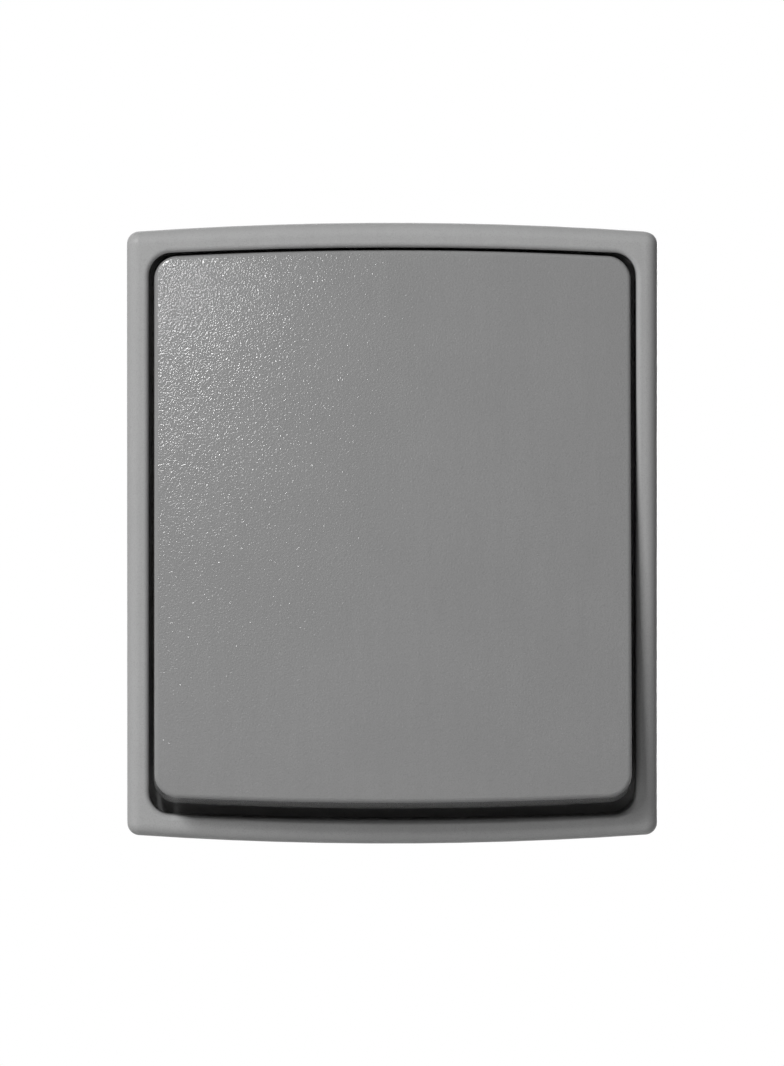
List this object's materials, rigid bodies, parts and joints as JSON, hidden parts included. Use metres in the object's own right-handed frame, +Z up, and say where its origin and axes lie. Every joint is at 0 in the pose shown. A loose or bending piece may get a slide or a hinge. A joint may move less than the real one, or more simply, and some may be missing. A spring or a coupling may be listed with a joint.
{
  "type": "weatherproof light switch",
  "caption": "Flush-mounted weatherproof light switch: grey grained frame with bowed ends, large tilting rocker, wall gasket, membrane and clamp-terminal insert.",
  "frame": {"origin": "middle between the two box screws, on the back of the support ring, in the wall's plane", "axes": "+X right, +Y into the wall, +Z up; the rocker faces -Y"},
  "size_m": [0.081, 0.0467, 0.0948],
  "materials": {
    "grey_plastic": "finely grained satin",
    "foam_rubber": "matt",
    "membrane_rubber": "matt",
    "insert_plastic": "satin",
    "cradle_plastic": "satin",
    "zinc_steel": "zinc plated",
    "spring_steel": "bright",
    "brass": "plain",
    "silver": "plain",
    "button_plastic": "gloss"
  },
  "bodies": {
    "housing": {"frame": "grey_plastic", "wall_gasket": "foam_rubber", "membrane": "membrane_rubber", "membrane_retainer": "insert_plastic", "frame_screws": "zinc_steel", "screw_seal_rings": "membrane_rubber", "support_ring": "zinc_steel", "insert_cover": "insert_plastic", "insert_base": "insert_plastic", "cover_screws": "zinc_steel", "fixed_contacts": "silver", "terminal_common": "brass", "clamp_spring_common": "spring_steel", "terminal_upper": "brass", "clamp_spring_upper": "spring_steel", "terminal_lower": "brass", "clamp_spring_lower": "spring_steel"},
    "rocker": {"rocker": "grey_plastic", "cradle": "cradle_plastic", "plunger_spring": "spring_steel", "plunger": "cradle_plastic"},
    "contact_lever": {"contact_lever": "brass", "moving_contacts": "silver"},
    "release_button_common": {"release_button_common": "button_plastic"},
    "release_button_upper": {"release_button_upper": "button_plastic"},
    "release_button_lower": {"release_button_lower": "button_plastic"}
  },
  "joints": [
    {"name": "rocker_tilt", "type": "hinge", "parent": "housing", "child": "rocker", "pos_m": [0, 0.0009, 0], "axis": [1, 0, 0], "range_deg": [0, 8.6], "deforming": ["membrane"]},
    {"name": "lever_tilt", "type": "hinge", "parent": "housing", "child": "contact_lever", "pos_m": [0, 0.0171, 0], "axis": [1, 0, 0], "range_deg": [-12, 0]},
    {"name": "release_common", "type": "slide", "parent": "housing", "child": "release_button_common", "axis": [0, -1, 0], "range_m": [0, 0.0016], "stiffness_N_per_m": 1000, "deforming": ["clamp_spring_common"]},
    {"name": "release_upper", "type": "slide", "parent": "housing", "child": "release_button_upper", "axis": [0, -1, 0], "range_m": [0, 0.0016], "stiffness_N_per_m": 1000, "deforming": ["clamp_spring_upper"]},
    {"name": "release_lower", "type": "slide", "parent": "housing", "child": "release_button_lower", "axis": [0, -1, 0], "range_m": [0, 0.0016], "stiffness_N_per_m": 1000, "deforming": ["clamp_spring_lower"]}
  ],
  "couplings": [
    {"joint": "lever_tilt", "follows": "rocker_tilt", "ratio": -1.395}
  ]
}
